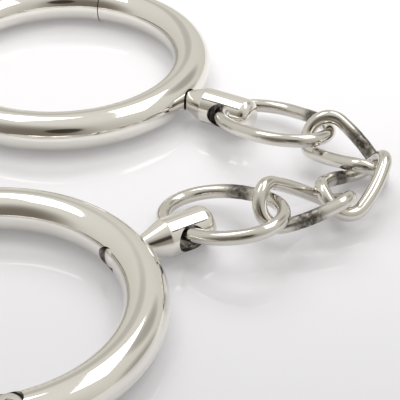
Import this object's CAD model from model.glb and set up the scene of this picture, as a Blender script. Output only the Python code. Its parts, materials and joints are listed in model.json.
# %% [markdown]
# # A pair of handcuffs in polished steel
# Two rings of round bar, each with a turned swivel, are joined by five links of wire. The working model is
# loaded first and never changed: it says where everything is and how it moves. Each of its plain pieces
# is then replaced by a finer surface, worked out from the same few sizes, and given a finish.

# %% Load the working model
import math
import bmesh
import bpy
import json
import numpy as np
from mathutils import Matrix, Vector


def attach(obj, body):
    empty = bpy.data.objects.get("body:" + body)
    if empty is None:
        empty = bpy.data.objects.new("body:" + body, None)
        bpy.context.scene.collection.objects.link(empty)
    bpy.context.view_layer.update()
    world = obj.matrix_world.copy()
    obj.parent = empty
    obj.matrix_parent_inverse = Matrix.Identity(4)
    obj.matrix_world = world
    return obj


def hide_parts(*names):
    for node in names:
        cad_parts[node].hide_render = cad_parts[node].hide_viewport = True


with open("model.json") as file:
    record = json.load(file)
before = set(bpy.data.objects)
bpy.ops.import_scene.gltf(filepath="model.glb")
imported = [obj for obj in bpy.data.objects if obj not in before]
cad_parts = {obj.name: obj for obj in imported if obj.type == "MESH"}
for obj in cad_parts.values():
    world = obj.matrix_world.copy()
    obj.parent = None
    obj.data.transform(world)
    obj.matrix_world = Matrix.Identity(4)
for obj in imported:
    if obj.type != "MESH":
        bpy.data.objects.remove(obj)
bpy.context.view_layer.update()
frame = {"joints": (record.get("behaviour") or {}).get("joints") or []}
MM = 0.001

# %% [markdown]
# ## Where things are
# The joints of the working model give the places. Each swivel turns about a line through its ring's
# centre, so that joint gives both the centre and the way the swivel points. A piece of a cuff is made
# with the ring's centre at the origin and the swivel along X, then carried to its place.

# %% Sizes and places
BAR_R = 5 * MM
RING_R = 35 * MM
HINGE_AT, LOCK_AT = 105, -105

joints = {j["name"]: j for j in frame["joints"]}


def cuff_place(side):
    """The matrix from a cuff's own axes to the frame: X along the swivel, Z up, Z = 0 on the ground."""
    joint = joints[f"{side}_swivel_turn"]
    x, y, _ = joint["pos_m"]
    turn = math.atan2(joint["axis"][1], joint["axis"][0])
    return Matrix.Translation((x, y, 0)) @ Matrix.Rotation(turn, 4, "Z")


PLACES = {side: cuff_place(side) for side in ("near", "far")}
HOLE_AT = {side: (Vector(joints[f"{side}_{name}"]["pos_m"]) - PLACES[side].translation).to_2d().length
           for side, name in (("near", "oval_swing"), ("far", "swivel_swing"))}
print("cross-holes at", {side: round(at / MM, 1) for side, at in HOLE_AT.items()}, "mm from the ring centres")

# %% [markdown]
# ## Surfaces from numbers
# Every new piece starts as a grid of points worked out with numpy. One helper turns a grid into a mesh
# and joins it round where the surface closes. Steel this bright shows any dent in a surface, so the
# curved stretches get their exact normals afterwards and only real corners stay sharp.

# %% Grids, turned pieces and cutting
SHARP = math.radians(30)
WELD = 1e-7
TURNED_SIDES, POST_SIDES, SWIVEL_SIDES = 64, 48, 96


def grid_object(name, points, wrap_rows=True):
    """A mesh object from points[row, column]. Columns always close; rows close if wrap_rows, or else the
    first and last row are each a single point, the poles of the surface."""
    rows, columns, _ = points.shape
    index = np.arange(rows * columns).reshape(rows, columns)
    below = index if wrap_rows else index[:-1]
    above = np.roll(index, -1, axis=0) if wrap_rows else index[1:]
    quads = np.stack([below, np.roll(below, -1, axis=1), np.roll(above, -1, axis=1), above], axis=-1)
    mesh = bpy.data.meshes.new(name)
    mesh.from_pydata(points.reshape(-1, 3).tolist(), [], quads.reshape(-1, 4).tolist())
    clean = bmesh.new()
    clean.from_mesh(mesh)
    bmesh.ops.remove_doubles(clean, verts=clean.verts, dist=WELD)
    bmesh.ops.recalc_face_normals(clean, faces=clean.faces)
    clean.to_mesh(mesh)
    clean.free()
    obj = bpy.data.objects.new(name, mesh)
    bpy.context.scene.collection.objects.link(obj)
    return obj


def turned(name, profile, sides=TURNED_SIDES, height=BAR_R):
    """A turned solid about the X axis at the bar's height. profile is (place along X, radius) in mm, from
    pole to pole; angle v carries it round: (x, r cos v, height + r sin v)."""
    along, radius = (np.array(profile, float) * MM).T
    v = np.linspace(0, 2 * np.pi, sides, endpoint=False)
    points = np.stack([np.broadcast_to(along[:, None], (len(along), sides)),
                       radius[:, None] * np.cos(v), height + radius[:, None] * np.sin(v)], axis=-1)
    return grid_object(name, points, wrap_rows=False)


def rounded(profile, corner, steps=6):
    """The profile with each inner corner replaced by an arc-like curve. corner[i] is how far from point i
    the rounding starts, in mm: p = (1-t)^2 a + 2t(1-t) point + t^2 b, t from 0 to 1."""
    points = np.array(profile, float)
    out = [points[0]]
    for before, here, after, reach in zip(points[:-2], points[1:-1], points[2:], corner):
        if reach == 0:
            out.append(here)
            continue
        a = here + (before - here) * reach / np.linalg.norm(before - here)
        b = here + (after - here) * reach / np.linalg.norm(after - here)
        t = np.linspace(0, 1, steps)[:, None]
        out.extend((1 - t) ** 2 * a + 2 * t * (1 - t) * here + t ** 2 * b)
    out.append(points[-1])
    return [tuple(p) for p in out]


def turned_upright(name, where, profile, sides):
    """A turned solid about a vertical axis at where = (x, y) in metres. profile is (height, radius) in mm,
    from pole to pole: (x + r cos v, y + r sin v, height)."""
    height, radius = (np.array(profile) * MM).T
    v = np.linspace(0, 2 * np.pi, sides, endpoint=False)
    points = np.stack([where[0] + radius[:, None] * np.cos(v), where[1] + radius[:, None] * np.sin(v),
                       np.broadcast_to(height[:, None], (len(height), sides))], axis=-1)
    return grid_object(name, points, wrap_rows=False)


def upright(name, where, radius, low, high, edge=0.0):
    """A post from low to high, with its two rims rounded by edge. Sizes in mm, where in metres."""
    profile = rounded([(low, 0), (low, radius), (high, radius), (high, 0)], [edge, edge])
    return turned_upright(name, where, profile, POST_SIDES)


def combine(obj, tool, operation):
    """obj with the tool's solid taken away, joined on or kept in common. The tool is used up."""
    step = obj.modifiers.new(operation, "BOOLEAN")
    step.operation = operation
    step.solver = "EXACT"
    step.object = tool
    view = bpy.context.evaluated_depsgraph_get()
    made = bpy.data.meshes.new_from_object(obj.evaluated_get(view))
    obj.modifiers.clear()
    old, obj.data = obj.data, made
    bpy.data.meshes.remove(old)
    bpy.data.objects.remove(tool)
    return obj


print("helpers ready")

# %% [markdown]
# ## Finishing a piece
# Where a face lies on the round bar, its corner normals are the bar's own: from the nearest point of the
# bar's centreline straight out. The cuts do not disturb the reflections then, however their triangles fall.

# %% Exact normals, and placing
ON_BAR = 0.004 * MM
NEAR_BAR = 10 * ON_BAR


def bar_offset(points):
    """The vector from the nearest point of the bar's centreline, a circle of RING_R, to each point."""
    flat = points[:, :2]
    on_circle = RING_R * flat / np.maximum(np.linalg.norm(flat, axis=1, keepdims=True), WELD)
    return points - np.column_stack([on_circle, np.full(len(points), BAR_R)])


def read(values, name, width, kind=np.float32):
    """One property of every item in a mesh's list, as an array with width numbers to an item."""
    out = np.empty(len(values) * width, kind)
    values.foreach_get(name, out)
    return out.reshape(-1, width) if width > 1 else out


def exact_normals(mesh):
    """The bar's own normals on the corners of every face that lies on the bar, and the usual ones on the
    others. A face lies on the bar if all its corners do and its flat normal agrees with theirs."""
    offset = bar_offset(read(mesh.vertices, "co", 3).astype(float))
    distance = np.linalg.norm(offset, axis=1)
    near_bar = np.abs(distance - BAR_R) < NEAR_BAR
    corner = read(mesh.loops, "vertex_index", 1, np.int32)
    count = read(mesh.polygons, "loop_total", 1, np.int32)
    face = np.repeat(np.arange(len(count)), count)
    flat_normal = read(mesh.polygons, "normal", 3)
    exact = offset / distance[:, None]
    facing = np.einsum("ij,ij->i", exact[corner], flat_normal[face]) > math.cos(SHARP / 2)
    whole = np.bincount(face, near_bar[corner] & facing, len(count)) == count
    usual = read(mesh.corner_normals, "vector", 3)
    return np.where(whole[face][:, None], exact[corner], usual)


def shade(obj, on_bar=False):
    """Smooth everywhere but at corners, and exact normals on the faces that lie on the bar."""
    obj.data.shade_smooth()
    obj.data.set_sharp_from_angle(angle=SHARP)
    if on_bar:
        obj.data.normals_split_custom_set(exact_normals(obj.data).tolist())
    return obj


def mark_stained(obj, inside, amount):
    """Writes the attribute "stain" on a piece: amount on the faces whose middles pass the test inside,
    which is given all the middles at once, and 0 on the others."""
    faces = obj.data.polygons
    share = amount * inside(read(faces, "center", 3).astype(float)).astype(np.float32)
    stain = obj.data.attributes.new("stain", "FLOAT", "CORNER")
    stain.data.foreach_set("value", np.repeat(share, read(faces, "loop_total", 1, np.int32)))
    return obj


def within_bar(points):
    """Which points lie below the bar's surface, as the middles of all cut faces do."""
    return np.linalg.norm(bar_offset(points), axis=1) < BAR_R - NEAR_BAR


def finish_piece(obj, body, replaced, material, place=None):
    """Puts a finished piece in its place and says what it moves with and what it stands for."""
    if place is not None:
        obj.data.transform(place)
    obj.data.materials.clear()
    obj.data.materials.append(material)
    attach(obj, body)
    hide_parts(replaced)
    return obj


print("ready to shade and place")

# %% [markdown]
# ## Finishes
# Hand-polished stainless steel is not a perfect mirror. Under its gloss the wheel leaves very shallow
# waves, hair-fine lines, and patches that are a little duller. All three finishes share these, so they are
# one node group with its amounts as inputs. It puts out only a roughness and a height.

# %% The marks of polishing, as a shared group
def node(tree, kind, inputs=(), **settings):
    """A shader node with its settings, and with values or links put on its inputs by name or number."""
    made = tree.nodes.new(kind)
    for key, value in settings.items():
        setattr(made, key, value)
    for key, value in dict(inputs).items():
        if isinstance(value, bpy.types.NodeSocket):
            tree.links.new(value, made.inputs[key])
        else:
            made.inputs[key].default_value = value
    return made


def new_group(name, inputs, outputs):
    """An empty node group with named number or colour sockets."""
    tree = bpy.data.node_groups.new(name, "ShaderNodeTree")
    for label, kind, value in inputs:
        socket = tree.interface.new_socket(name=label, in_out="INPUT", socket_type=kind)
        if value is not None:
            socket.default_value = value
    for label, kind in outputs:
        tree.interface.new_socket(name=label, in_out="OUTPUT", socket_type=kind)
    return tree, tree.nodes.new("NodeGroupInput"), tree.nodes.new("NodeGroupOutput")


FLOAT, VECTOR, COLOUR = "NodeSocketFloat", "NodeSocketVector", "NodeSocketColor"


def polish_marks():
    """Roughness and height of polished steel. Roughness rises from Low to High in soft patches; height
    adds wide waves and fine lines, each a noise times its own amount."""
    tree, given, out = new_group(
        "polish_marks",
        [("Vector", VECTOR, None), ("Low", FLOAT, 0.05), ("High", FLOAT, 0.12),
         ("Waves", FLOAT, 1.0), ("Lines", FLOAT, 0.2)],
        [("Roughness", FLOAT), ("Height", FLOAT)])
    patches = node(tree, "ShaderNodeTexNoise", {"Vector": given.outputs["Vector"], "Scale": 90,
                                               "Detail": 4, "Roughness": 0.6})
    spread = node(tree, "ShaderNodeMapRange", {"Value": patches.outputs["Fac"], 1: 0.35, 2: 0.7,
                                              3: given.outputs["Low"], 4: given.outputs["High"]})
    waves = node(tree, "ShaderNodeTexNoise", {"Vector": given.outputs["Vector"], "Scale": 130, "Detail": 1})
    stretch = node(tree, "ShaderNodeMapping", {"Vector": given.outputs["Vector"], "Scale": (1, 1, 14)})
    lines = node(tree, "ShaderNodeTexNoise", {"Vector": stretch.outputs["Vector"], "Scale": 900, "Detail": 3})
    big = node(tree, "ShaderNodeMath", {0: waves.outputs["Fac"], 1: given.outputs["Waves"]},
               operation="MULTIPLY")
    both = node(tree, "ShaderNodeMath", {0: lines.outputs["Fac"], 1: given.outputs["Lines"],
                                        2: big.outputs[0]}, operation="MULTIPLY_ADD")
    tree.links.new(spread.outputs["Result"], out.inputs["Roughness"])
    tree.links.new(both.outputs[0], out.inputs["Height"])
    return tree


POLISH = polish_marks()
print("group:", POLISH.name, [s.name for s in POLISH.interface.items_tree])

# %% [markdown]
# Where the wheel does not reach, in the bores, the cut faces and the pits of a weld, black wax and heat
# tint stay behind. The attribute "stain" says how much. A second group breaks its edge with a fine noise,
# then turns the colour brown-black, takes the gloss away and adds pits.

# %% The stains, as a shared group
STAIN = (0.095, 0.085, 0.072, 1)


def stains():
    """Colour, roughness and height with stains added. mask = Amount x ragged noise; the colour is mixed
    with the stain by the mask, Dull x mask is added to roughness and Pits x noise x Amount to height."""
    tree, given, out = new_group(
        "stains",
        [("Vector", VECTOR, None), ("Amount", FLOAT, 0.0), ("Clean", COLOUR, None),
         ("Roughness", FLOAT, 0.1), ("Height", FLOAT, 0.0), ("Dull", FLOAT, 0.35), ("Pits", FLOAT, 0.0)],
        [("Color", COLOUR), ("Roughness", FLOAT), ("Height", FLOAT)])
    mottle = node(tree, "ShaderNodeTexNoise", {"Vector": given.outputs["Vector"], "Scale": 900,
                                              "Detail": 6, "Roughness": 0.65})
    ragged = node(tree, "ShaderNodeMapRange", {"Value": mottle.outputs["Fac"], 1: 0.38, 2: 0.56, 3: 0.6,
                                              4: 1})
    mask = node(tree, "ShaderNodeMath", {0: given.outputs["Amount"], 1: ragged.outputs["Result"]},
                operation="MULTIPLY")
    tint = node(tree, "ShaderNodeMix", data_type="RGBA")
    tree.links.new(mask.outputs[0], tint.inputs[0])
    tree.links.new(given.outputs["Clean"], tint.inputs[6])
    tint.inputs[7].default_value = STAIN
    rough = node(tree, "ShaderNodeMath", {0: mask.outputs[0], 1: given.outputs["Dull"],
                                         2: given.outputs["Roughness"]}, operation="MULTIPLY_ADD")
    pits = node(tree, "ShaderNodeMath", {0: mottle.outputs["Fac"], 1: given.outputs["Amount"]},
                operation="MULTIPLY")
    height = node(tree, "ShaderNodeMath", {0: pits.outputs[0], 1: given.outputs["Pits"],
                                          2: given.outputs["Height"]}, operation="MULTIPLY_ADD")
    tree.links.new(tint.outputs[2], out.inputs["Color"])
    tree.links.new(rough.outputs[0], out.inputs["Roughness"])
    tree.links.new(height.outputs[0], out.inputs["Height"])
    return tree


STAINS = stains()
print("group:", STAINS.name, [s.name for s in STAINS.interface.items_tree])

# %% [markdown]
# The base colour of stainless steel is a warm grey, and it is not quite even: traces of polishing wax dull
# it. The colour therefore runs between two close tones. The material itself holds the metal shader.

# %% The steel finishes
WAVE_DEPTH = 0.02 * MM


def steel(name, light, dark, low, high, waves, lines, pits=0.0):
    """Polished steel: two close tones in soft patches, with the marks of polishing and the stains."""
    made = bpy.data.materials.new(name)
    made.use_nodes = True
    tree = made.node_tree
    tree.nodes.clear()
    place = node(tree, "ShaderNodeTexCoord").outputs["Object"]
    marks = node(tree, "ShaderNodeGroup", node_tree=POLISH)
    for label, value in (("Low", low), ("High", high), ("Waves", waves), ("Lines", lines)):
        marks.inputs[label].default_value = value
    tree.links.new(place, marks.inputs["Vector"])
    tone = node(tree, "ShaderNodeTexNoise", {"Vector": place, "Scale": 45, "Detail": 3})
    colour = node(tree, "ShaderNodeMix", data_type="RGBA")
    tree.links.new(tone.outputs["Fac"], colour.inputs[0])
    colour.inputs[6].default_value = (*light, 1)
    colour.inputs[7].default_value = (*dark, 1)
    amount = node(tree, "ShaderNodeAttribute", attribute_name="stain")
    stained = node(tree, "ShaderNodeGroup", node_tree=STAINS)
    stained.inputs["Pits"].default_value = pits
    for label, source in (("Vector", place), ("Amount", amount.outputs["Fac"]), ("Clean", colour.outputs[2]),
                          ("Roughness", marks.outputs["Roughness"]), ("Height", marks.outputs["Height"])):
        tree.links.new(source, stained.inputs[label])
    bump = node(tree, "ShaderNodeBump", {"Height": stained.outputs["Height"], "Strength": 1,
                                        "Distance": WAVE_DEPTH})
    metal = node(tree, "ShaderNodeBsdfPrincipled", {
        "Base Color": stained.outputs["Color"], "Roughness": stained.outputs["Roughness"], "Metallic": 1,
        "Normal": bump.outputs["Normal"]})
    out = node(tree, "ShaderNodeOutputMaterial")
    tree.links.new(metal.outputs[0], out.inputs["Surface"])
    return made


RING_STEEL = steel("ring_steel", (0.90, 0.88, 0.84), (0.82, 0.80, 0.75), 0.03, 0.09, 1.0, 0.05)
SWIVEL_STEEL = steel("swivel_steel", (0.90, 0.88, 0.83), (0.80, 0.77, 0.72), 0.04, 0.12, 1.2, 0.1)
PIN_STEEL = steel("pin_steel", (0.88, 0.86, 0.82), (0.76, 0.74, 0.70), 0.08, 0.2, 0.6, 0.3)
WIRE_STEEL = steel("wire_steel", (0.81, 0.79, 0.745), (0.64, 0.61, 0.56), 0.05, 0.14, 1.0, 0.4, pits=6.0)
print("steels:", RING_STEEL.name, SWIVEL_STEEL.name, PIN_STEEL.name, WIRE_STEEL.name)

# %% [markdown]
# ## The rings
# A ring is a bar bent round a former until its ends meet: a circle carried along a larger circle. It is cut
# in two. At the hinge one half keeps a tongue and the other two ears, and at the lock a tongue goes into a
# slot. Each cut is a solid taken away from the whole ring, so both halves stay parts of one true ring.

# %% The whole ring and its cutting tools
RING_STEPS, BAR_STEPS = 180, 56
REACH = 60
HINGE_OUT, HINGE_PIN_R, KNUCKLE_R, HINGE_TONGUE = 2.4, 1.3, 3.5, 1.6
LOCK_IN, LOCK_PIN_R, LOCK_HEAD_R, LOCK_TONGUE = -0.6, 2.3, 2.9, 1.2
LOCK_SEAM, LOCK_TIP, LOCK_CUT, PLAY = -4.5, 5.0, 0.2, 0.3
RING_MM, BAR_MM = RING_R / MM, BAR_R / MM
THROUGH = (-1, 2 * BAR_MM + 1)


def whole_ring(name):
    """A circle of BAR_R carried round a circle of RING_R: ((R + r cos v) cos u, (R + r cos v) sin u,
    r + r sin v), u round the ring and v round the bar."""
    u = np.linspace(0, 2 * np.pi, RING_STEPS, endpoint=False)[:, None]
    v = np.linspace(0, 2 * np.pi, BAR_STEPS, endpoint=False)[None, :]
    out = RING_R + BAR_R * np.cos(v)
    points = np.stack([out * np.cos(u), out * np.sin(u), BAR_R + BAR_R * np.sin(v) + 0 * u], axis=-1)
    return grid_object(name, points)


def ring_spot(degrees, outwards=0.0):
    """The point over the bar at an angle round the ring, (x, y) in mm."""
    a = math.radians(degrees)
    return ((RING_MM + outwards) * math.cos(a), (RING_MM + outwards) * math.sin(a))


def prism(name, outline, low, high):
    """A flat outline in mm, anticlockwise from above, raised from low to high."""
    corners = np.array(outline, float)
    count = len(corners)
    levels = [np.column_stack([corners, np.full(count, z)]) for z in (low, high)]
    side = [(i, (i + 1) % count, (i + 1) % count + count, i + count) for i in range(count)]
    mesh = bpy.data.meshes.new(name)
    mesh.from_pydata((np.vstack(levels) * MM).tolist(), [],
                     side + [tuple(reversed(range(count))), tuple(range(count, 2 * count))])
    obj = bpy.data.objects.new(name, mesh)
    bpy.context.scene.collection.objects.link(obj)
    return obj


def wedge(name, start, end, low=-REACH, high=REACH):
    """The pie slice of space between two angles, in steps of no more than a few degrees."""
    angles = np.radians(np.linspace(start, end, 24))
    rim = 2 * REACH * np.column_stack([np.cos(angles), np.sin(angles)])
    return prism(name, [(0, 0), *rim.tolist()], low, high)


def lock_block(name, across, along, low, high):
    """A box at the lock: across the bar, then along it, measured from the lock pin's axis, in mm."""
    a = math.radians(LOCK_AT)
    outwards, onwards = np.array([math.cos(a), math.sin(a)]), np.array([-math.sin(a), math.cos(a)])
    middle = np.array(LOCK_SPOT)
    corners = [(across[0], along[0]), (across[1], along[0]), (across[1], along[1]), (across[0], along[1])]
    return prism(name, [tuple(middle + x * outwards + y * onwards) for x, y in corners], low, high)


HINGE_SPOT = ring_spot(HINGE_AT, HINGE_OUT)
LOCK_SPOT = ring_spot(LOCK_AT, LOCK_IN)
HINGE_SPOT_M, LOCK_SPOT_M = (tuple(c * MM for c in spot) for spot in (HINGE_SPOT, LOCK_SPOT))
SEAM_AT = LOCK_AT + 360 + math.degrees(LOCK_SEAM / RING_MM)
HALF_GAP_AT = math.degrees(PLAY / 2 / RING_MM)
print("hinge at", [round(c, 1) for c in HINGE_SPOT], "and lock at", [round(c, 1) for c in LOCK_SPOT], "mm")

# %% [markdown]
# The half that carries the swivel also carries both pins. Where the rivet comes through inside the ring,
# the bar has a round recess with a softened rim, and outside there is room for the swivel's cone.

# %% The swivel half
RECESS_R, RECESS_FLOOR, RECESS_RIM = 2.8, 33.6, 0.35
LOCK_SEAT, COLLAR_SEAT = 7.4, 2.6
BORE_R, CONE_TIP, CONE_TIP_R = 2.1, 38.4, 2.5
SHOULDER, SHOULDER_R = 44.9, 4.6
CUT_STAIN, BORE_STAIN = 0.85, 1.0


def hinge_layers(name, radius, inner, outer):
    """Knuckle-shaped discs above and below the hinge's middle, from inner to outer away from it."""
    low = upright(name, HINGE_SPOT_M, radius, BAR_MM - outer, BAR_MM - inner)
    high = upright(name + "_top", HINGE_SPOT_M, radius, BAR_MM + inner, BAR_MM + outer)
    return combine(low, high, "UNION")


def swivel_half(side):
    """The ring without the opening half's share, with the bores for the swivel, the hinge and the lock."""
    half = whole_ring(f"{side}_ring_swivel_half")
    away = wedge("away", HINGE_AT - HALF_GAP_AT, SEAM_AT + HALF_GAP_AT)
    combine(away, hinge_layers("ears", KNUCKLE_R, HINGE_TONGUE + PLAY, REACH / 4), "DIFFERENCE")
    combine(half, away, "DIFFERENCE")
    slack = HINGE_TONGUE + PLAY
    combine(half, upright("tongue_room", HINGE_SPOT_M, KNUCKLE_R + PLAY, BAR_MM - slack, BAR_MM + slack),
            "DIFFERENCE")
    combine(half, upright("pin_bore", HINGE_SPOT_M, HINGE_PIN_R + PLAY / 3, *THROUGH), "DIFFERENCE")
    slack = LOCK_TONGUE + PLAY
    combine(half, lock_block("slot", (-LOCK_CUT, 2 * BAR_MM), (2 * LOCK_SEAM, LOCK_TIP + PLAY),
                             BAR_MM - slack, BAR_MM + slack), "DIFFERENCE")
    combine(half, upright("lock_bore", LOCK_SPOT_M, LOCK_PIN_R + PLAY / 2, *THROUGH), "DIFFERENCE")
    room_r = LOCK_HEAD_R + PLAY / 2
    combine(half, upright("head_room", LOCK_SPOT_M, room_r, LOCK_SEAT, THROUGH[1]), "DIFFERENCE")
    combine(half, upright("collar_room", LOCK_SPOT_M, room_r, THROUGH[0], COLLAR_SEAT), "DIFFERENCE")
    recess = [(25, 0), (25, RECESS_R + 2), (29.9, RECESS_R + RECESS_RIM), (30.9, RECESS_R),
              (RECESS_FLOOR, RECESS_R), (RECESS_FLOOR, 0)]
    combine(half, turned("recess", rounded(recess, [0, 0, 0.6, 0.1]), POST_SIDES), "DIFFERENCE")
    combine(half, turned("bore", [(RECESS_FLOOR - 1, 0), (RECESS_FLOOR - 1, BORE_R), (SHOULDER, BORE_R),
                                  (SHOULDER, 0)], POST_SIDES), "DIFFERENCE")
    combine(half, turned("cone_room", [(CONE_TIP, 0), (CONE_TIP, CONE_TIP_R), (SHOULDER, SHOULDER_R + 0.4),
                                       (SHOULDER, 0)], POST_SIDES), "DIFFERENCE")
    return mark_stained(shade(half, on_bar=True), within_bar, CUT_STAIN)


for side, place in PLACES.items():
    half = finish_piece(swivel_half(side), f"{side}_cuff", f"{side}_swivel_half",
                        RING_STEEL, place)
    print(half.name, len(half.data.polygons), "faces")

# %% [markdown]
# The other half ends in the hinge's tongue at one end. At the other end it has a thin tongue with a round
# notch, which the lock pin turns into.

# %% The opening half
def opening_half(side):
    """The ring's share between the hinge and the lock seam, with a tongue at each end."""
    half = whole_ring(f"{side}_ring_opening_half")
    away = wedge("away", SEAM_AT - HALF_GAP_AT - 360, HINGE_AT + HALF_GAP_AT)
    tongue = upright("hinge_tongue", HINGE_SPOT_M, KNUCKLE_R, BAR_MM - HINGE_TONGUE, BAR_MM + HINGE_TONGUE)
    combine(away, tongue, "DIFFERENCE")
    catch = lock_block("lock_tongue", (PLAY / 3, 3 * BAR_MM), (LOCK_SEAM - 1, LOCK_TIP),
                       BAR_MM - LOCK_TONGUE, BAR_MM + LOCK_TONGUE)
    combine(away, catch, "DIFFERENCE")
    combine(half, away, "DIFFERENCE")
    combine(half, hinge_layers("ear_room", KNUCKLE_R + PLAY, HINGE_TONGUE, REACH / 4), "DIFFERENCE")
    combine(half, upright("pin_bore", HINGE_SPOT_M, HINGE_PIN_R + PLAY / 3, *THROUGH), "DIFFERENCE")
    combine(half, upright("notch", LOCK_SPOT_M, LOCK_PIN_R + PLAY / 2, *THROUGH), "DIFFERENCE")
    return mark_stained(shade(half, on_bar=True), within_bar, CUT_STAIN)


for side, place in PLACES.items():
    half = finish_piece(opening_half(side), f"{side}_opening", f"{side}_opening_half",
                        RING_STEEL, place)
    print(half.name, len(half.data.polygons), "faces")

# %% [markdown]
# ## Pins
# The hinge pin is pressed in and ground off with the bar, so its ends are part of the bar's own surface:
# the post and the ring kept in common. The lock pin is turned, then milled flat over the middle of its
# length, and it has a hexagon socket for its key. A collar pressed on below keeps it in.

# %% Hinge pins, lock pins and collars
LOCK_TOP, COLLAR_BOTTOM, LOCK_END_R = 8.7, 1.3, 1.2
SOCKET_R, SOCKET_FLOOR, EDGE = 1.4, 7.1, 0.15


def hinge_pin(side):
    """The stretch of a post that lies within the ring."""
    pin = whole_ring(f"{side}_hinge_pin_ground")
    combine(pin, upright("post", HINGE_SPOT_M, HINGE_PIN_R, *THROUGH), "INTERSECT")
    return shade(pin, on_bar=True)


def lock_pin(side):
    """A turned pin: the reduced end, the shank and the head, less the flat and the key's socket."""
    profile = rounded([(COLLAR_BOTTOM, 0), (COLLAR_BOTTOM, LOCK_END_R), (COLLAR_SEAT, LOCK_END_R),
                       (COLLAR_SEAT, LOCK_PIN_R), (LOCK_SEAT + PLAY, LOCK_PIN_R),
                       (LOCK_SEAT + PLAY, LOCK_HEAD_R), (LOCK_TOP, LOCK_HEAD_R), (LOCK_TOP, 0)],
                      [EDGE, 0, EDGE, 0, EDGE, 2 * EDGE])
    pin = turned_upright(f"{side}_lock_pin_turned", LOCK_SPOT_M, profile, TURNED_SIDES)
    slack = LOCK_TONGUE + PLAY
    combine(pin, lock_block("flat", (-LOCK_CUT - 0.1, 2 * BAR_MM), (-BAR_MM, BAR_MM),
                            BAR_MM - slack, BAR_MM + slack), "DIFFERENCE")
    turns = np.radians(LOCK_AT + 60 * np.arange(6))
    socket = np.array(LOCK_SPOT) + SOCKET_R * np.column_stack([np.cos(turns), np.sin(turns)])
    combine(pin, prism("socket", socket.tolist(), SOCKET_FLOOR, THROUGH[1]), "DIFFERENCE")
    return shade(pin)


def lock_collar(side):
    """A ring pressed on the lock pin's end."""
    collar = upright(f"{side}_lock_collar_turned", LOCK_SPOT_M, LOCK_HEAD_R, COLLAR_BOTTOM,
                     COLLAR_SEAT - PLAY, edge=EDGE)
    combine(collar, upright("hole", LOCK_SPOT_M, LOCK_END_R + PLAY / 6, *THROUGH), "DIFFERENCE")
    return shade(collar)


for side, place in PLACES.items():
    for made, body, replaced in ((hinge_pin(side), "cuff", "hinge_pin"), (lock_pin(side), "lock", "lock_pin"),
                                 (lock_collar(side), "lock", "lock_collar")):
        finish_piece(made, f"{side}_{body}", f"{side}_{replaced}", PIN_STEEL, place)
        print(made.name, len(made.data.polygons), "faces")

# %% [markdown]
# ## The swivels
# A swivel is turned from bar on a lathe: a cone, a crisp shoulder, a cylinder and a rounded end. The
# cross-hole is drilled through it and its mouth is broken with a small radius. A rivet with a domed head
# holds it to the ring from inside, over a washer, and leaves it free to turn.

# %% Swivel bodies, rivets and washers
SWIVEL_TIP, SWIVEL_TIP_R = 38.7, 2.2
SWIVEL_ROUND, HOLE_R, HOLE_MOUTH = 2.6, 3.3, 0.15
HOLE_TURN = {side: math.degrees(math.asin(joints[f"{side}_{name}"]["axis"][2]))
             for side, name in (("near", "oval_swing"), ("far", "swivel_swing"))}
SWIVEL_END = {"near": 57.0, "far": 58.4}
RIVET_R, RIVET_HEAD_R, RIVET_HEAD, RIVET_DOME, RIVET_EDGE, RIVET_END = 1.5, 2.5, 32.4, 30.1, 31.3, 45.4
WASHER = (32.7, 33.3)


def swivel_body(side):
    """The turned outline with its end rounded by a quarter circle, less the flared cross-hole."""
    end = SWIVEL_END[side]
    a = np.linspace(np.pi / 2, 0, 12)
    nose = [(end - SWIVEL_ROUND + SWIVEL_ROUND * math.cos(t), SHOULDER_R - SWIVEL_ROUND
             + SWIVEL_ROUND * math.sin(t)) for t in a]
    front = rounded([(SWIVEL_TIP, 0), (SWIVEL_TIP, SWIVEL_TIP_R), (SHOULDER, SHOULDER_R), nose[0]],
                    [0.15, 0.25])
    body = turned(f"{side}_swivel_turned", [*front[:-1], *nose, (end, 0)], SWIVEL_SIDES)
    rim = SHOULDER_R + HOLE_MOUTH
    flare = rounded([(-2 * rim, 0), (-2 * rim, HOLE_R + 4), (-rim, HOLE_R + HOLE_MOUTH), (-3.6, HOLE_R),
                     (3.6, HOLE_R), (rim, HOLE_R + HOLE_MOUTH), (2 * rim, HOLE_R + 4), (2 * rim, 0)],
                    [0, 0.4, 0.6, 0.6, 0.4, 0])
    drill = turned("drill", flare, height=0)
    tilt = Matrix.Rotation(math.radians(-HOLE_TURN[side]), 4, "X")
    aim = Matrix.Translation((HOLE_AT[side], 0, BAR_R)) @ tilt @ Matrix.Rotation(math.radians(90), 4, "Z")
    drill.data.transform(aim)
    combine(body, drill, "DIFFERENCE")
    middle, way = np.array((HOLE_AT[side], 0, BAR_R)), np.array(aim.to_3x3() @ Vector((1, 0, 0)))

    def in_bore(points):
        """Which points are no farther from the hole's axis than its wall."""
        return np.linalg.norm(np.cross(points - middle, way), axis=1) < (HOLE_R + HOLE_MOUTH / 3) * MM

    return mark_stained(shade(body), in_bore, BORE_STAIN)


def swivel_rivet(side):
    """A half-ellipse dome on a shank."""
    a = np.linspace(0, np.pi / 2, 14)
    dome = [(RIVET_EDGE - (RIVET_EDGE - RIVET_DOME) * math.cos(t), RIVET_HEAD_R * math.sin(t)) for t in a]
    profile = [*dome, (RIVET_HEAD, RIVET_HEAD_R), (RIVET_HEAD, RIVET_R), (RIVET_END, RIVET_R), (RIVET_END, 0)]
    return shade(turned(f"{side}_rivet_domed", profile, POST_SIDES))


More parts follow.
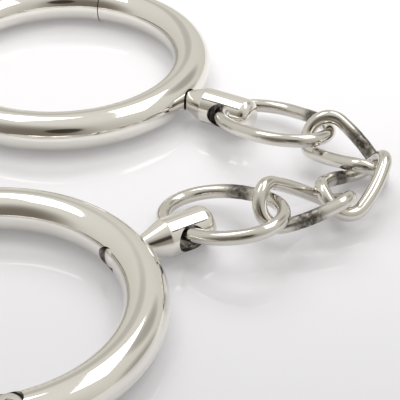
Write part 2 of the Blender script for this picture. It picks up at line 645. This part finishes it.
def swivel_washer(side):
    """A flat ring, its outline carried round the X axis."""
    inner, outer = WASHER
    low, high = RIVET_R + PLAY / 2, RECESS_R - PLAY
    along, r = (np.array([(inner, low), (inner, high), (outer, high), (outer, low)]) * MM).T
    v = np.linspace(0, 2 * np.pi, POST_SIDES, endpoint=False)
    points = np.stack([np.broadcast_to(along[:, None], (len(along), POST_SIDES)), r[:, None] * np.cos(v),
                       BAR_R + r[:, None] * np.sin(v)], axis=-1)
    return shade(grid_object(f"{side}_washer_flat", points))


for side, place in PLACES.items():
    for made, replaced, name, finish in ((swivel_body(side), "swivel_body", "polished_steel", SWIVEL_STEEL),
                                         (swivel_rivet(side), "swivel_rivet", "pins", SWIVEL_STEEL),
                                         (swivel_washer(side), "swivel_washer", "pins", PIN_STEEL)):
        finish_piece(made, f"{side}_swivel", f"{side}_{replaced}", finish, place)
        print(made.name, len(made.data.polygons), "faces")

# %% [markdown]
# ## The chain
# A link is a length of wire bent to a closed outline and welded. The oval links stay flat; the smaller
# curb links are twisted about their long axis, so that they lie in a row. Each weld leaves a slight upset
# in the wire, with pits, and a dark brown heat tint that polishing has only half taken off.

# %% Link shapes and places
WIRE_R = 1.68 * MM
OVAL = {"straight": 2.6, "end": 13.8, "half": 10.6, "twist": 0}
CURB = {"straight": 12.5, "end": 5.0, "half": 5.5, "twist": -47}
# Each link: its shape, its middle in mm, degrees of heading, dip and roll, then its weld: the side of
# the link, how far along it and how far the stain reaches, in mm.
CHAIN = {
    "near_oval_link": (OVAL, (25.2, -20.5, 6.4), (-35, -13, -2), (1, -1.8, 3.6)),
    "curb_link_1": (CURB, (43.8, -17.2, 7.3), (22, 10, 4), (-1, -1.5, 3.6)),
    "curb_link_2": (CURB, (56.5, -7.2, 5.8), (58, 1, -9), (1, 1.0, 3.2)),
    "curb_link_3": (CURB, (55.7, 6.6, 6.0), (-44, 10, 1), (1, 1.2, 4.6)),
    "far_oval_link": (OVAL, (38.7, 18.7, 6.3), (-41, -7, -11), (1, 5.6, 3.2)),
}
NEAR_RING_AT = Vector((-26.1, -51.5, 0)) * MM
CENTRING = PLACES["near"].translation - NEAR_RING_AT
WIRE_STEPS, WIRE_SIDES = 300, 28


def outline(straight, end, half, count):
    """Points evenly spaced round two straight strands joined by half ellipses of end by half."""
    t = np.linspace(-np.pi / 2, np.pi / 2, 400)
    right = np.column_stack([straight / 2 + end * np.cos(t), half * np.sin(t)])
    loop = np.vstack([right, -right, right[:1]])
    length = np.concatenate([[0], np.cumsum(np.linalg.norm(np.diff(loop, axis=0), axis=1))])
    at = np.linspace(0, length[-1], count, endpoint=False)
    return np.column_stack([np.interp(at, length, loop[:, k]) for k in (0, 1)]) * MM


def unit(vectors):
    """Each vector at length one."""
    return vectors / np.linalg.norm(vectors, axis=-1, keepdims=True)


def wire_link(name, shape, middle, turns, weld):
    """A circle carried round the twisted outline. The outline's point (x, y) goes to (x, y cos a, y sin a)
    with a = twist x / reach. The circle swells at the weld by a bell curve, with lumps from two sines."""
    flat = outline(shape["straight"], shape["end"], shape["half"], WIRE_STEPS)
    reach = (shape["straight"] / 2 + shape["end"]) * MM
    a = math.radians(shape["twist"]) * flat[:, 0] / reach
    centre = np.column_stack([flat[:, 0], flat[:, 1] * np.cos(a), flat[:, 1] * np.sin(a)])
    along = unit(np.roll(centre, -1, axis=0) - np.roll(centre, 1, axis=0))
    face = np.column_stack([np.zeros_like(a), -np.sin(a), np.cos(a)])
    up = unit(face - np.sum(face * along, axis=1, keepdims=True) * along)
    across = np.cross(along, up)
    side, place, spread = weld
    from_weld = np.where(side * flat[:, 1] > 0, np.abs(flat[:, 0] - place * MM) / MM, 99.0)[:, None]
    v = np.linspace(0, 2 * np.pi, WIRE_SIDES, endpoint=False)[None, :]
    upset = np.exp(-(from_weld / 1.1) ** 2)
    near_weld = np.exp(-(from_weld / spread) ** 4)
    lumps = np.sin(3 * v + 2.1 * from_weld) * np.sin(5.3 * from_weld + 2 * v)
    radius = WIRE_R * (1 + 0.02 * upset * np.cos(v - 1) + 0.012 * near_weld * lumps)
    points = (centre[:, None, :] + radius[..., None] * (np.cos(v)[..., None] * up[:, None, :]
                                                       + np.sin(v)[..., None] * across[:, None, :]))
    heading, dip, roll = (math.radians(t) for t in turns)
    place_at = Matrix.Translation(Vector(middle) * MM + CENTRING)
    turn = (Matrix.Rotation(heading, 4, "Z") @ Matrix.Rotation(dip, 4, "Y") @ Matrix.Rotation(roll, 4, "X"))
    obj = grid_object(f"{name}_wire", points)
    stain = obj.data.attributes.new("stain", "FLOAT", "POINT")
    stain.data.foreach_set("value", np.broadcast_to(near_weld, radius.shape).astype(np.float32).ravel())
    obj.data.transform(place_at @ turn)
    return shade(obj)


for name, (shape, middle, turns, weld) in CHAIN.items():
    link = finish_piece(wire_link(name, shape, middle, turns, weld), name, name, WIRE_STEEL)
    print(link.name, len(link.data.polygons), "faces")

# %% [markdown]
# ## The table, the light and the camera
# A mirror shows its surroundings, so the light makes the look of polished steel. A white paper would do
# for the table, but only a glossy sheet gives back the faint bright curves under the rings.

# %% Table
def table():
    """A wide, flat, glossy white sheet of acrylic that is faintly lit from below, as light tables are, which
    keeps the shadows pale. Its white is a little deeper towards the front."""
    size = 2.5
    mesh = bpy.data.meshes.new("table")
    corners = [(-size, -size, 0), (size, -size, 0), (size, size, 0), (-size, size, 0)]
    mesh.from_pydata(corners, [], [(0, 1, 2, 3)])
    obj = bpy.data.objects.new("table", mesh)
    bpy.context.scene.collection.objects.link(obj)
    made = bpy.data.materials.new("white_table")
    made.use_nodes = True
    tree = made.node_tree
    tree.nodes.clear()
    place = node(tree, "ShaderNodeTexCoord")
    haze = node(tree, "ShaderNodeTexNoise", {"Vector": place.outputs["Object"], "Scale": 12, "Detail": 3})
    rough = node(tree, "ShaderNodeMapRange", {"Value": haze.outputs["Fac"], 3: 0.03, 4: 0.08})
    axes = node(tree, "ShaderNodeSeparateXYZ", {"Vector": place.outputs["Object"]})
    away = node(tree, "ShaderNodeMapRange", {"Value": axes.outputs["Y"], 1: -0.13, 2: 0.06},
                interpolation_type="SMOOTHSTEP")
    tone = node(tree, "ShaderNodeMix", data_type="RGBA")
    tree.links.new(away.outputs["Result"], tone.inputs[0])
    tone.inputs[6].default_value = (0.50, 0.50, 0.525, 1)
    tone.inputs[7].default_value = (0.67, 0.665, 0.69, 1)
    white = node(tree, "ShaderNodeBsdfPrincipled", {
        "Base Color": tone.outputs[2], "Roughness": rough.outputs["Result"],
        "Emission Color": (0.92, 0.91, 0.93, 1), "Emission Strength": 0.2})
    out = node(tree, "ShaderNodeOutputMaterial")
    tree.links.new(white.outputs[0], out.inputs["Surface"])
    mesh.materials.append(made)
    return obj


print("table:", table().name)

# %% [markdown]
# Two soft boxes overhead draw the white bands along the bars, with a gap between them. The rest of the
# room is a warm grey, with soft dark patches behind the camera and low on the right, which draw the brown
# bands. A picture of a real room would do the same, but a few named patches are easier to read and move.
# A third lamp, low at the back, only widens the shadows: it is hidden from the reflections.

# %% Room and lights
def direction(azimuth, elevation):
    """The unit vector at an azimuth in degrees, clockwise from +Y, and an elevation above level."""
    a, e = math.radians(azimuth), math.radians(elevation)
    return Vector((math.sin(a) * math.cos(e), math.cos(a) * math.cos(e), math.sin(e)))


def dark_patch(tree, view, colour, patch):
    """colour mixed towards the patch's own colour round one direction. The share is 0 beyond the outer
    angle, full within the inner one, and smooth between them, from the dot product of view with it."""
    azimuth, elevation, outer, inner, share, tone = patch
    near = node(tree, "ShaderNodeVectorMath", {0: view, 1: direction(azimuth, elevation)},
                operation="DOT_PRODUCT")
    fade = node(tree, "ShaderNodeMapRange", {
        "Value": near.outputs["Value"], 1: math.cos(math.radians(outer)), 2: math.cos(math.radians(inner)),
        3: 0, 4: share}, interpolation_type="SMOOTHSTEP")
    mix = node(tree, "ShaderNodeMix", data_type="RGBA")
    tree.links.new(fade.outputs["Result"], mix.inputs[0])
    tree.links.new(colour, mix.inputs[6])
    mix.inputs[7].default_value = (*tone, 1)
    return mix.outputs[2]


def room(low, high, patches):
    """The surroundings: a warm grey that runs from low at the horizon to high overhead, with dark patches
    where the room is not lit."""
    world = bpy.data.worlds.new("room")
    world.use_nodes = True
    tree = world.node_tree
    tree.nodes.clear()
    place = node(tree, "ShaderNodeTexCoord")
    axes = node(tree, "ShaderNodeSeparateXYZ", {"Vector": place.outputs["Generated"]})
    sky = node(tree, "ShaderNodeMix", data_type="RGBA")
    tree.links.new(axes.outputs["Z"], sky.inputs[0])
    sky.inputs[6].default_value = (*low, 1)
    sky.inputs[7].default_value = (*high, 1)
    colour = sky.outputs[2]
    for patch in patches:
        colour = dark_patch(tree, place.outputs["Generated"], colour, patch)
    glow = node(tree, "ShaderNodeBackground", {"Color": colour, "Strength": 1.0})
    out = node(tree, "ShaderNodeOutputWorld")
    tree.links.new(glow.outputs[0], out.inputs["Surface"])
    bpy.context.scene.world = world
    return world


def soft_box(name, azimuth, elevation, size, radiance, mirrored=True):
    """A rectangular lamp that faces the middle of the table. Its size (width, height) is as seen from a
    metre away, so the size grows with DISTANCE. A flat lamp gives out pi x area x radiance watts.
    One that is not mirrored lights the table but is hidden from reflections."""
    lamp = bpy.data.lights.new(name, "AREA")
    lamp.shape = "RECTANGLE"
    lamp.size, lamp.size_y = size[0] * DISTANCE, size[1] * DISTANCE
    lamp.energy = math.pi * lamp.size * lamp.size_y * radiance
    obj = bpy.data.objects.new(name, lamp)
    away = direction(azimuth, elevation)
    turn = away.to_track_quat("Z", "Y").to_matrix().to_4x4()
    obj.matrix_world = Matrix.Translation(away * DISTANCE) @ turn
    obj.visible_glossy = mirrored
    bpy.context.scene.collection.objects.link(obj)
    return obj


DISTANCE = 0.65
BROWN, BLACK = (0.13, 0.105, 0.08), (0.03, 0.025, 0.02)
room((0.66, 0.645, 0.59), (0.80, 0.785, 0.74), [
    (-175, 0, 85, 30, 0.3, BROWN),
    (-160, 14, 55, 12, 0.85, BROWN),
    (80, -2, 24, 4, 0.5, BROWN),
    (50, 35, 19, 4, 0.5, BROWN),
    (-14, 30, 15, 3, 0.3, BROWN),
    (176, 32, 15, 9, 0.9, BLACK)])
soft_box("right_box", 62, 61, (0.85, 0.34), 2.1)
soft_box("left_box", -50, 67, (0.62, 0.33), 2.1)
soft_box("back_light", 4, 38, (0.9, 0.35), 5.4, mirrored=False)

# %% [markdown]
# The camera looks down at about 35 degrees from the front with a long lens, a little to the right, so that
# both swivels and the whole chain are in view and the rings run out of the picture on the left.

# %% Camera
CAMERA_AT = Vector((20.05, -273.36, 190.2)) * MM
PITCH = 35.436
camera = bpy.data.objects.new("camera", bpy.data.cameras.new("camera"))
camera.location = CAMERA_AT
camera.rotation_euler = (math.radians(90 - PITCH), 0, 0)
camera.data.sensor_width = 36
camera.data.lens = 123.35
camera.data.clip_start = 0.01
bpy.context.scene.collection.objects.link(camera)
bpy.context.scene.camera = camera
bpy.context.scene.view_settings.view_transform = "Standard"
print("camera", round(camera.data.lens, 1), "mm lens at", [round(c / MM) for c in camera.location], "mm")
